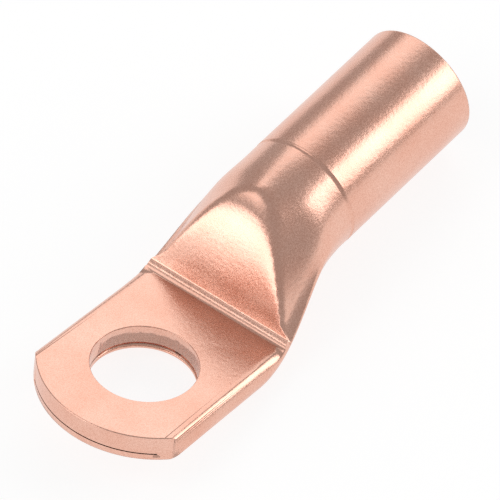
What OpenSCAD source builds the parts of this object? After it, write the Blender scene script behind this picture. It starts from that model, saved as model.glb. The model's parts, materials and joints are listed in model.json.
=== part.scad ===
// Tubular copper cable lug: one length of copper tube. One end is pressed flat into a palm, which is
// punched for a stud and cut to a round nose. The other end stays round and takes the bared cable.
//
// The lug is drawn with its palm level: the stud hole's axis is Z and its centre, on the underside of
// the palm, is the origin. The barrel points along +X. The whole is then turned about Y by rest_tilt,
// the angle at which it lies on a table, on the heel of the palm and the lower lip of the barrel.

/* [Stud palm] */
// Diameter of the stud hole
stud_d = 13; // [8:0.5:14]
// Width of the palm across its two folded sides
palm_w = 22.5; // [20:0.1:26]
// Distance from the stud hole's centre to the tip of the nose
nose_reach = 12.5; // [10.5:0.1:16]
// Radius of the nose in plan
nose_r = 13.5; // [12:0.1:20]
// Rounding that punching and shearing leave on the palm's edges
sheared_edge = 0.18; // [0.05:0.01:0.3]
// Gap left between the two flattened walls
seam_gap = 0.16; // [0.1:0.01:0.3]
// Height of that gap above the underside of the palm
seam_z = 0.87; // [0.6:0.01:1.2]

/* [Tube] */
// Inside diameter of the tube, which the cable fills
bore_d = 12; // [11:0.1:12.6]
// Thickness of the tube's wall
wall = 1.77; // [1.5:0.01:2]
// Length of the round barrel, from the end of the transition to its mouth
barrel_len = 22.4; // [15:0.1:40]
// Rounding of the barrel's mouth, inside and outside
mouth_edge = 0.3; // [0.1:0.05:0.5]

/* [Bend] */
// Angle at which the barrel rises from the palm
barrel_tilt = 8.6; // [2:0.1:12]
// Height of the barrel's axis above the palm's underside, at the barrel's start
barrel_rise = 12; // [10.5:0.1:13]

/* [Transition] */
// Distance from the stud hole's centre to where the folded sides start to rise
fold_start = 8.6; // [8:0.1:10]
// Distance from the stud hole's centre to the ledge that ends the flat of the palm
ledge_x = 13.05; // [12:0.05:14.5]
// Distance from the stud hole's centre to where the tube is round again
barrel_start = 29; // [26:0.1:36]
// Height of the ledge
ledge_h = 0.25; // [0.1:0.01:0.5]
// Width of the ledge
ledge_w = 0.4; // [0.2:0.05:0.8]
// Height of the rounded ridge behind the ledge
ridge_h = 0.9; // [0.4:0.05:1.4]
// Length of the ridge along the palm
ridge_w = 0.6; // [0.4:0.05:1]
// Steepness of the pressed face that climbs to the barrel, as rise over run
face_slope = 4.3; // [2.5:0.1:5]
// Reach of the rounding where the pressed face meets the tube's shoulders
face_soft = 12; // [1:0.1:14]

/* [Hidden] */

copper = "#d6946f";
palm_t = 2 * wall;               // two walls, one on the other
fold_r = wall;                   // radius of the palm's folded sides
bore_r = bore_d / 2;
barrel_r = bore_r + wall;
stud_r = stud_d / 2;
seat = 0.02;                     // how far the loft is sunk into the barrel's end
press = 0.12;                    // how much the die and the table take off the folded tube
palm_taper = 0.015;              // how much each side of the palm draws in, over its length
overlap = 0.05;                  // how far the loft reaches into the barrel
tiny = 0.001;                    // keeps a division from failing
tight = 1;                       // how far before the heel the seam ends
hair = 0.06;                     // how much wider the cavity is than the bore where they meet
shy = 0.02;                      // how much a sheared edge falls short of a full quarter round
clear = 1;                       // how far a cutting tool reaches past what it cuts
fine = 128;                      // sides on a turned surface
edge_steps = 4;                  // chords along a small rounding
ring_steps = 60;                 // points round the outside of the transition
cavity_steps = 36;               // points round its inside
heel_x = ledge_x - 0.5;          // where the underside starts to rise
keel_end = 23;                   // where the underside has reached the barrel's own line
upright_end = 20;                // up to here the sections stand upright, then they lean to the barrel
fold_lag = 1.15;                 // above 1, the sides draw in late
fold_lead = 0.75;                // share of the transition in which the folds climb to mid height
palm_power = 60;                 // a high power keeps the section flat between its folds
crown_sag = 0.1;                 // how far the pressing draws the crown down behind the face
sag_from = 19;                   // up to here, fading over
sag_run = 9;                     // this distance
pinch_lead = 0.5;                // distance before the ledge at which the die starts to pinch the tube
pinch_run = 1.8;                 // distance in which it has pinched it
arch_w = 6.4;                    // half the width of the arch where the die has pinched the tube
arch_lag = 2;                    // distance behind the ledge at which the arch starts to widen
arch_run = 10;                   // distance in which it widens to the tube
skirt_power = 1.1;               // a low power draws the skirts in close above the folds
climb_start = 0.12;              // share of the way round from fold to crown at which the arch starts
climb_power = 1.1;               // above 1, its foot is hollow
ridge_power = 0.7;               // below 1, the ridge's back is rounded
steep_from = 0.9;                // distance behind the ledge at which the face is steep
soft_run = 2;                    // distance behind the ledge in which the rounding reaches its size
soft_power = 3;                  // a high power keeps the rounding to the crown and the sides crisp
keel_power = 2.5;                // how full the underside is between its middle and the folds
hull_power = 4;                  // how square it is behind the heel, where it was as flat as the palm
hull_run = 8;                    // distance in which it changes
gable_run = 3;                   // distance in which the inside opens up
face_run = 4;                    // length of the stretch that has the finest rings
few = 6;                         // rings over the folds' first rise
many = 16;                       // rings over the face, and again from there to the barrel
cavity_rings = 24;               // rings of the inside

function lerp(a, b, t) = a + (b - a) * t;
function ease(t) = let (u = max(0, min(1, t))) u * u * (3 - 2 * u);
function soft_min(a, b, k) = let (h = max(k - abs(a - b), 0) / k) min(a, b) - h * h * k / 4;
function arc(cx, cy, r, a0, a1) =
    [for (i = [0:edge_steps]) let (a = lerp(a0, a1, i / edge_steps)) [cx + r * cos(a), cy + r * sin(a)]];

// Heights of the barrel's axis and of the tube's underside, and the lean of a section, at x.
function axis_z(x) = barrel_rise + (x - barrel_start) * tan(barrel_tilt);
function keel_z(x) = (axis_z(x) - barrel_r) * ease((x - heel_x) / (keel_end - heel_x));
function lean(x) = barrel_tilt * ease((x - upright_end) / (barrel_start - upright_end));

// Height of the die's face at x: flat over the palm, then ledge, ridge and steep face.
function die_z(x) =
    let (ridge_x = ledge_x + ledge_w, face_x = ridge_x + ridge_w)
    palm_t
    + (x > ledge_x ? ledge_h : 0)
    + ridge_h * pow(max(0, min(1, (x - ridge_x) / ridge_w)), ridge_power)
    + face_slope * max(0, x - face_x);

// The tube's section at x, as a closed ring, drawn in from the tube's outer skin by inset. Its widest
// points are the two folds. From there the crown climbs to the tube's top, or as far as the die
// lets it, and the keel falls to the underside. Where the die has pinched the tube, the crown is
// a narrow arch with a flared skirt on each side.
function section(x, inset, steps) =
    let (
        t = max(0, (x - fold_start) / (barrel_start - fold_start)),
        inner = inset > wall / 2,
        skin = inset + (t < 1 ? 0 : seat),
        palm_half = palm_w / 2 - x * palm_taper,
        half_w = lerp(palm_half, barrel_r, ease(pow(t, fold_lag))) - skin,
        fold_z = lerp(fold_r, barrel_r, ease(t / fold_lead)),
        r = max(min(lerp(fold_r, barrel_r, t * t), fold_z) - skin, seam_gap / 2),
        arched = ease((x - ledge_x + pinch_lead) / pinch_run),
        arch_r = lerp(r, lerp(arch_w, barrel_r, ease((x - ledge_x - arch_lag) / arch_run)) - skin, arched),
        full_top = axis_z(x) + barrel_r - keel_z(x) - crown_sag * (1 - ease((x - sag_from) / sag_run)),
        top = lerp(palm_t + press, full_top, arched) - skin,
        opening = max(0, min(1, (x - heel_x) / gable_run)),
        low = inner ? lerp(seam_z, skin, ease(opening)) : skin,
        sunk = inner ? 0 : press * (1 - opening),
        crown_m = inner ? 2 : lerp(palm_power, skirt_power, arched),
        keel_m = inner ? 2 : lerp(palm_power, hull_power, ease((x - heel_x + 1) / hull_run)),
        drop = inset * (x > ledge_x + steep_from ? sqrt(1 + face_slope * face_slope) : 1),
        face = die_z(x) - drop - keel_z(x),
        die = inner ? max(lerp(seam_z + seam_gap, face, opening), low + seam_gap) : face,
        soft = inner ? 0 : face_soft * ease((x - ledge_x) / soft_run),
        corner = lerp(min(r, palm_t + press - fold_z - skin), r, arched),
        lean_x = lean(x)
    )
    [for (i = [0:steps - 1])
        let (
            a = 360 * i / steps,
            c = sin(a),
            s = -cos(a),
            up = s > tiny,
            m = up ? crown_m : keel_m,
            ra = up ? arch_r : r,
            y = sign(c) * (half_w - ra) * (1 - pow(abs(s), m)) + ra * c,
            folded = fold_z - r * abs(s) - (fold_z - r - low + sunk) * pow(abs(s), keel_power),
            keel = max(low, min(folded, die - seam_gap)),
            way = max(0, (asin(max(0, s)) / 90 - climb_start) / (1 - climb_start)),
            climb = pow(sin(90 * way), climb_power),
            crown = fold_z + corner * s + (top - fold_z - corner) * climb,
            q = up ? max(keel + (inner ? seam_gap / 2 : 0), min(crown, soft_min(crown, die, tiny + soft * pow(abs(s), soft_power)))) : keel
        )
        [x + (barrel_r - q) * sin(lean_x), y, keel_z(x) + barrel_r + (q - barrel_r) * cos(lean_x)]];

// Triangles that close a ring of n points, in columns between its underside and its top. The points
// run from the middle of the underside, and n is a multiple of four.
function cap(n) =
    [for (i = [0:n / 4 - 1])
        let (
            right = [i, i + 1, n / 2 - i - 1, n / 2 - i],
            left = [n / 2 + i, n / 2 + i + 1, n - i - 1, (n - i) % n]
        )
        each concat(
            [[right[0], right[1], right[3]], [left[0], left[1], left[3]]],
            i < n / 4 - 1 ? [[right[1], right[2], right[3]], [left[1], left[2], left[3]]] : []
        )];

// A closed solid through a list of rings, each with the same number of points.
module loft(rings) {
    n = len(rings[0]);
    last = len(rings) - 1;
    polyhedron(
        points = [for (ring = rings) each ring],
        faces = concat(
            cap(n),
            [for (j = [0:last - 1], k = [0:n - 1])
                [j * n + k, (j + 1) * n + k, (j + 1) * n + (k + 1) % n]],
            [for (j = [0:last - 1], k = [0:n - 1])
                [j * n + k, (j + 1) * n + (k + 1) % n, j * n + (k + 1) % n]],
            [for (f = cap(n)) [last * n + f[2], last * n + f[1], last * n + f[0]]]
        )
    );
}

function spaced(a, b, n) = [for (i = [0:n - 1]) lerp(a, b, i / n)];

// Places something drawn along +Z so that it lies along the barrel, from the barrel's start.
module on_barrel_axis() {
    translate([barrel_start, 0, axis_z(barrel_start)])
        rotate([0, 90 - barrel_tilt, 0])
            children();
}

// The palm's outline from above: a strip cut off by the round nose, whose edges are sheared.
module nose_outline() {
    e = sheared_edge;
    nose_x = nose_r - nose_reach;
    translate([nose_x, 0, 0])
        rotate_extrude($fn = fine)
            polygon(concat(
                [[0, -clear], [nose_r - e, -clear]],
                arc(nose_r - e, e - shy, e, -90, 0),
                arc(nose_r - e, palm_t - e + shy, e, 0, 90),
                [[nose_r - e, palm_t + clear], [0, palm_t + clear]]
            ));
    translate([nose_x, -palm_w, -barrel_r])
        cube([barrel_start, 2 * palm_w, 4 * barrel_r]);
}

// The pressed length of the tube, from the nose to the barrel, as one loft.
module pressed_tube() {
    ridge_x = ledge_x + ledge_w;
    face_x = ridge_x + ridge_w;
    stops = concat(
        [-nose_reach - clear],
        spaced(fold_start, ledge_x, few),
        spaced(ledge_x, ridge_x, 2),
        spaced(ridge_x, face_x, 4),
        spaced(face_x, face_x + face_run, many),
        spaced(face_x + face_run, barrel_start, many),
        [barrel_start, barrel_start + overlap]
    );
    intersection() {
        loft([for (x = stops) section(x, 0, ring_steps)]);
        nose_outline();
    }
}

// The barrel, solid, with its mouth rounded.
module barrel() {
    e = mouth_edge;
    on_barrel_axis()
        rotate_extrude($fn = fine)
            polygon(concat(
                [[0, 0], [barrel_r, 0]],
                arc(barrel_r - e, barrel_len - e, e, 0, 90),
                [[0, barrel_len]]
            ));
}

// What the cable fills: the bore, widened a little at its mouth.
module bore() {
    e = mouth_edge;
    on_barrel_axis()
        rotate_extrude($fn = fine)
            polygon(concat(
                [[0, -hair], [bore_r, -hair]],
                arc(bore_r + e, barrel_len - e, e, 180, 90),
                [[bore_r + e, barrel_len + clear], [0, barrel_len + clear]]
            ));
}

// The rest of the tube's inside, which opens up behind the palm. It is a hair wider than the bore
// where they meet, and its end lies inside the bore.
module cavity() {
    loft(concat(
        [for (x = spaced(heel_x, barrel_start, cavity_rings)) section(x, wall - hair, cavity_steps)],
        [section(barrel_start - tiny, wall - hair, cavity_steps),
            section(barrel_start + clear / 2, wall + 2 * hair, cavity_steps)]
    ));
}

// The seam between the two flattened walls, open at the nose and in the stud hole. Nearer to the
// heel the walls are pressed tight.
module seam() {
    half = palm_w / 2 - wall - fold_r / 8;
    length = nose_reach + clear + heel_x - tight;
    translate([-nose_reach - clear, -half, seam_z])
        cube([length, 2 * half, seam_gap]);
}

// The punched stud hole, with its rims drawn in a little by the punch.
module stud_hole() {
    e = sheared_edge;
    rotate_extrude($fn = fine)
        polygon(concat(
            [[0, -clear], [stud_r + e, -clear]],
            arc(stud_r + e, e - shy, e, 270, 180),
            arc(stud_r + e, palm_t - e + shy, e, 180, 90),
            [[stud_r + e, palm_t + clear], [0, palm_t + clear]]
        ));
}

// Where the lug touches a table: the lower lip of the mouth, and the stretch of the underside that
// a line from the lip meets first.
lip_x = barrel_start + barrel_len * cos(barrel_tilt) + barrel_r * sin(barrel_tilt);
lip_z = axis_z(barrel_start) + barrel_len * sin(barrel_tilt) - barrel_r * cos(barrel_tilt);
rest_tilt = max([for (x = [heel_x - 1:0.1:keel_end]) atan2(lip_z - keel_z(x), lip_x - x)]);

module cable_lug() {
    color(copper)
        rotate([0, rest_tilt, 0])
            difference() {
                union() {
                    pressed_tube();
                    barrel();
                }
                stud_hole();
                seam();
                cavity();
                bore();
            }
}

cable_lug();
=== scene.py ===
# %% [markdown]
# # A tubular copper cable lug
# The real lug is one piece of copper tube. One end is pressed flat and punched for a stud, and the
# other end stays round for the cable. This script dresses the lug's solid model: it gives the metal
# a finer skin and its finish, and it sets up the floor, the lamps and the camera.

# %% Load the frame
import json
import math

import bpy
from mathutils import Matrix, Vector


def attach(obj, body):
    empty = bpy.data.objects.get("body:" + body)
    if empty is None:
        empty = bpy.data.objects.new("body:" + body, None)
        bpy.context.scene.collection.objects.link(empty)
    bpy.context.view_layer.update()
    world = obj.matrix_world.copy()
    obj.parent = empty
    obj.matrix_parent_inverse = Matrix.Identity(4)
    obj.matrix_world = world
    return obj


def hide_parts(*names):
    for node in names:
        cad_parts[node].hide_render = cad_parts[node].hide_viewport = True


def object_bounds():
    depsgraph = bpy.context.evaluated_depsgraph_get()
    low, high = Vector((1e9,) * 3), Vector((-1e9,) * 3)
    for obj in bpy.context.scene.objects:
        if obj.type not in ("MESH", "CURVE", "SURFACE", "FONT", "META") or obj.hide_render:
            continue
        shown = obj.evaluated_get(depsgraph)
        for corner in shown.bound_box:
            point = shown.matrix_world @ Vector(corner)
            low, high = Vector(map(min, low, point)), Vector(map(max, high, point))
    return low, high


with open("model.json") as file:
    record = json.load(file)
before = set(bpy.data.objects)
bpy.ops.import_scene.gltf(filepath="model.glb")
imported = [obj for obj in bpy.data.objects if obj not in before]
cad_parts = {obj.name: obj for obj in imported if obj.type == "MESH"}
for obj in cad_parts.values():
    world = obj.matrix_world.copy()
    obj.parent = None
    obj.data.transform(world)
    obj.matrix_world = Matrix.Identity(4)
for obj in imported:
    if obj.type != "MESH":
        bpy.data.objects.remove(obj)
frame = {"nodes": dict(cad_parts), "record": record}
cad_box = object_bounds()
MM = 0.001
print("solid model, mm:", [round((hi - lo) / MM, 1) for lo, hi in zip(*cad_box)])

# %% [markdown]
# ## Where things are
# The lug lies on a table, with its palm a little tilted. The record gives the stud hole's direction,
# which is the palm's own. The solid's box gives the table's height and the lug's middle, and the
# floor and the lamps take their places from those.

# %% Read the lug's own directions
mounts = {m["name"]: m for m in frame["record"]["mounts"]}
palm_up = Vector(mounts["stud_hole"]["axis"]).normalized()
floor_z = cad_box[0][2]
lug_centre = (Vector(cad_box[0]) + Vector(cad_box[1])) / 2
print("palm leans", round(math.degrees(palm_up.angle(Vector((0, 0, 1)))), 1), "degrees")

# %% [markdown]
# ## The camera
# A long lens from far away gives the flat perspective of a catalogue picture. The camera looks down
# on the lug from the nose's side, at about fifty degrees, and is rolled by a few degrees.

# %% Aim the camera
AZIMUTH = math.radians(-138.94)
ELEVATION = math.radians(50.74)
ROLL = math.radians(3.08)
DISTANCE = 1.15
LENS = 699.3
SENSOR = 36
FAR_CLIP = 10
AIM = Vector((20.61, 0, 5.12)) * MM

towards_camera = Vector((
    math.cos(AZIMUTH) * math.cos(ELEVATION),
    math.sin(AZIMUTH) * math.cos(ELEVATION),
    math.sin(ELEVATION),
))
camera_data = bpy.data.cameras.new("camera")
camera_data.lens = LENS
camera_data.sensor_width = SENSOR
camera_data.clip_end = FAR_CLIP
camera = bpy.data.objects.new("camera", camera_data)
bpy.context.scene.collection.objects.link(camera)
turn = (-towards_camera).to_track_quat("-Z", "Y").to_matrix().to_4x4()
camera.matrix_world = (
    Matrix.Translation(AIM + towards_camera * DISTANCE) @ turn @ Matrix.Rotation(-ROLL, 4, "Z")
)
bpy.context.scene.camera = camera
print("camera at", [round(v, 3) for v in camera.location])

# %% [markdown]
# ## Helpers for materials
# Colours are written as sRGB hex values, as a paint chart gives them, and turned to linear light by
# one function. Another adds a node with its settings and links in one call.

# %% Colour and node helpers


def colour(hex_value):
    """Linear RGBA of an sRGB hex colour."""
    parts = [int(hex_value[i:i + 2], 16) / 255 for i in (1, 3, 5)]
    linear = [v / 12.92 if v <= 0.04045 else ((v + 0.055) / 1.055) ** 2.4 for v in parts]
    return (*linear, 1)


def new_material(name):
    """An empty node material and its output node."""
    material = bpy.data.materials.new(name)
    material.use_nodes = True
    material.node_tree.nodes.clear()
    return material, material.node_tree.nodes.new("ShaderNodeOutputMaterial")


def add_node(material, kind, settings=None, **inputs):
    """Adds a node. An input that is a socket is linked; any other is set."""
    node = material.node_tree.nodes.new(kind)
    for key, value in (settings or {}).items():
        setattr(node, key, value)
    for key, value in inputs.items():
        socket = node.inputs[int(key[1:]) if key[0] == "_" else key.replace("_", " ")]
        if isinstance(value, bpy.types.NodeSocket):
            material.node_tree.links.new(value, socket)
        else:
            socket.default_value = value
    return node


def add_ramp(material, factor, *stops):
    """A colour ramp through (position, linear RGBA) stops."""
    ramp = add_node(material, "ShaderNodeValToRGB", Fac=factor)
    elements = ramp.color_ramp.elements
    while len(elements) < len(stops):
        elements.new(0.5)
    for element, (position, rgba) in zip(elements, stops):
        element.position = position
        element.color = rgba
    return ramp.outputs["Color"]


print("helpers ready")

# %% [markdown]
# ## Annealed, pickled copper
# The tube is annealed so that it can be pressed, then pickled in acid, which leaves bare copper with
# a silky, very finely grained skin. Annealing grows the grains, so pressed faces show a soft orange
# peel of a few tenths of a millimetre. Handling and oxide vary the colour a little.

# %% Copper
PEEL_MM = 0.55
GRAIN_MM = 0.16
CLOUD_MM = 6.0
PEEL_DEPTH_MM = 0.03
GRAIN_DEPTH_MM = 0.012
SPECKLE = 0.35
SMOOTHEST = 0.20
ROUGHEST = 0.30

copper, out = new_material("annealed_pickled_copper")
place = add_node(copper, "ShaderNodeTexCoord").outputs["Object"]
cloud = add_node(
    copper, "ShaderNodeTexNoise", Vector=place, Scale=1 / (CLOUD_MM * MM), Detail=3.0, Roughness=0.55
).outputs["Fac"]
peel = add_node(
    copper, "ShaderNodeTexNoise", Vector=place, Scale=1 / (PEEL_MM * MM), Detail=2.0, Roughness=0.5
).outputs["Fac"]
grain = add_node(
    copper, "ShaderNodeTexNoise", Vector=place, Scale=1 / (GRAIN_MM * MM), Detail=2.0, Roughness=0.6
).outputs["Fac"]
tint = add_ramp(copper, cloud, (0.3, colour("#f0b9a4")), (0.7, colour("#f5c6b3")))
speckled = add_node(
    copper, "ShaderNodeMix", {"data_type": "RGBA", "blend_type": "MULTIPLY"}, _0=SPECKLE, _6=tint,
    _7=add_ramp(copper, grain, (0.35, colour("#c4a08c")), (0.6, colour("#ffffff"))),
).outputs[2]
rough = add_node(
    copper, "ShaderNodeMapRange", Value=grain, From_Min=0.3, From_Max=0.7, To_Min=SMOOTHEST, To_Max=ROUGHEST
).outputs[0]
peel_bump = add_node(
    copper, "ShaderNodeBump", Strength=0.5, Distance=PEEL_DEPTH_MM * MM, Height=peel
).outputs["Normal"]
bump = add_node(
    copper, "ShaderNodeBump", Strength=0.6, Distance=GRAIN_DEPTH_MM * MM, Height=grain, Normal=peel_bump
).outputs["Normal"]
skin = add_node(
    copper, "ShaderNodeBsdfPrincipled", Base_Color=speckled, Metallic=1.0, Roughness=rough, Normal=bump
)
copper.node_tree.links.new(skin.outputs["BSDF"], out.inputs["Surface"])
print("copper ready")

# %% [markdown]
# ## The lug's skin
# The solid model has the true shape. Its facets show on polished metal, so a merged copy of it is
# smoothed by angle: edges that are meant to be sharp stay sharp. Normals weighted by area keep the
# flat palm flat right up to its small roundings.

# %% Copy the solid and smooth it
SHARP = math.radians(32)
MERGE_REACH = 0.002 * MM
AREA_WEIGHT = 100

bpy.ops.object.select_all(action="DESELECT")
solid = frame["nodes"]["cable_lug"]
mesh = solid.data.copy()
mesh.transform(solid.matrix_world)
lug = bpy.data.objects.new("lug_skin", mesh)
bpy.context.scene.collection.objects.link(lug)
lug.select_set(True)
bpy.context.view_layer.objects.active = lug
bpy.ops.object.mode_set(mode="EDIT")
bpy.ops.mesh.select_all(action="SELECT")
bpy.ops.mesh.remove_doubles(threshold=MERGE_REACH)
bpy.ops.object.mode_set(mode="OBJECT")
bpy.ops.object.shade_smooth_by_angle(angle=SHARP)
even = lug.modifiers.new("even", "WEIGHTED_NORMAL")
even.weight = AREA_WEIGHT
even.keep_sharp = True
bpy.ops.object.modifier_apply(modifier="even")
lug.data.materials.clear()
lug.data.materials.append(copper)
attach(lug, "root")
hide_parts("cable_lug")
print("lug skin:", len(lug.data.polygons), "faces")

# %% [markdown]
# ## Floor
# A plain flat plane under the lug, which takes its soft shadow. Its paint is a mid grey, so that it throws
# little light up at the lug. What the camera and the metal see of it is lifted to white by a glow, so
# that the copper mirrors a white table.

# %% White floor
FLOOR_SIZE = 3.0
FLOOR_GLOW = 0.82

bpy.ops.object.select_all(action="DESELECT")
bpy.ops.mesh.primitive_plane_add(size=FLOOR_SIZE, location=(lug_centre.x, lug_centre.y, floor_z))
floor = bpy.context.active_object
floor.name = "floor"
white, out = new_material("white_table")
rays = add_node(white, "ShaderNodeLightPath").outputs
seen = add_node(
    white, "ShaderNodeMath", {"operation": "MAXIMUM"}, _0=rays["Is Camera Ray"], _1=rays["Is Glossy Ray"]
).outputs[0]
glow_level = add_node(
    white, "ShaderNodeMath", {"operation": "MULTIPLY"}, _0=seen, _1=FLOOR_GLOW
).outputs[0]
glow = add_node(white, "ShaderNodeEmission", Color=colour("#ffffff"), Strength=glow_level)
paint = add_node(white, "ShaderNodeBsdfDiffuse", Color=colour("#8c8c8c"))
both = add_node(white, "ShaderNodeAddShader", _0=paint.outputs[0], _1=glow.outputs[0])
white.node_tree.links.new(both.outputs[0], out.inputs["Surface"])
floor.data.materials.append(white)
print("floor at", round(floor_z / MM, 2), "mm")

# %% [markdown]
# ## Lamps
# Polished metal shows its surroundings, so the lamps are large soft boxes, placed where the metal
# mirrors them, with a dim white room behind them. All stand at one distance. Each is described by the
# direction that it stands in, its width and height in metres, and its level, where one is as bright
# as a white wall. The one on the right draws the light strip along the barrel.

# %% Soft boxes
LAMP_DISTANCE = 0.6
ROOM_LEVEL = 0.45


def soft_box(name, direction, width, height, level):
    """A rectangular lamp that faces the lug. Its level is the brightness of its face."""
    lamp = bpy.data.lights.new(name, "AREA")
    lamp.shape = "RECTANGLE"
    lamp.size = width
    lamp.size_y = height
    lamp.energy = level * math.pi * width * height
    body = bpy.data.objects.new(name, lamp)
    body.location = lug_centre + Vector(direction).normalized() * LAMP_DISTANCE
    body.rotation_euler = Vector(direction).to_track_quat("Z", "Y").to_euler()
    bpy.context.scene.collection.objects.link(body)


soft_box("strip_right", (0.68, -0.6, 0.42), 0.34, 0.34, 2.2)
soft_box("panel_back", (0.73, 0.4, 0.55), 0.4, 0.4, 0.9)
soft_box("panel_left", (-0.42, 0.4, 0.8), 0.3, 0.3, 0.9)
soft_box("panel_low", (-0.9, 0.4, 0.12), 0.5, 0.3, 2.0)

world = bpy.data.worlds.new("studio")
world.use_nodes = True
bpy.context.scene.world = world
world.node_tree.nodes["Background"].inputs["Color"].default_value = colour("#ffffff")
world.node_tree.nodes["Background"].inputs["Strength"].default_value = ROOM_LEVEL
bpy.context.scene.view_settings.view_transform = "Standard"
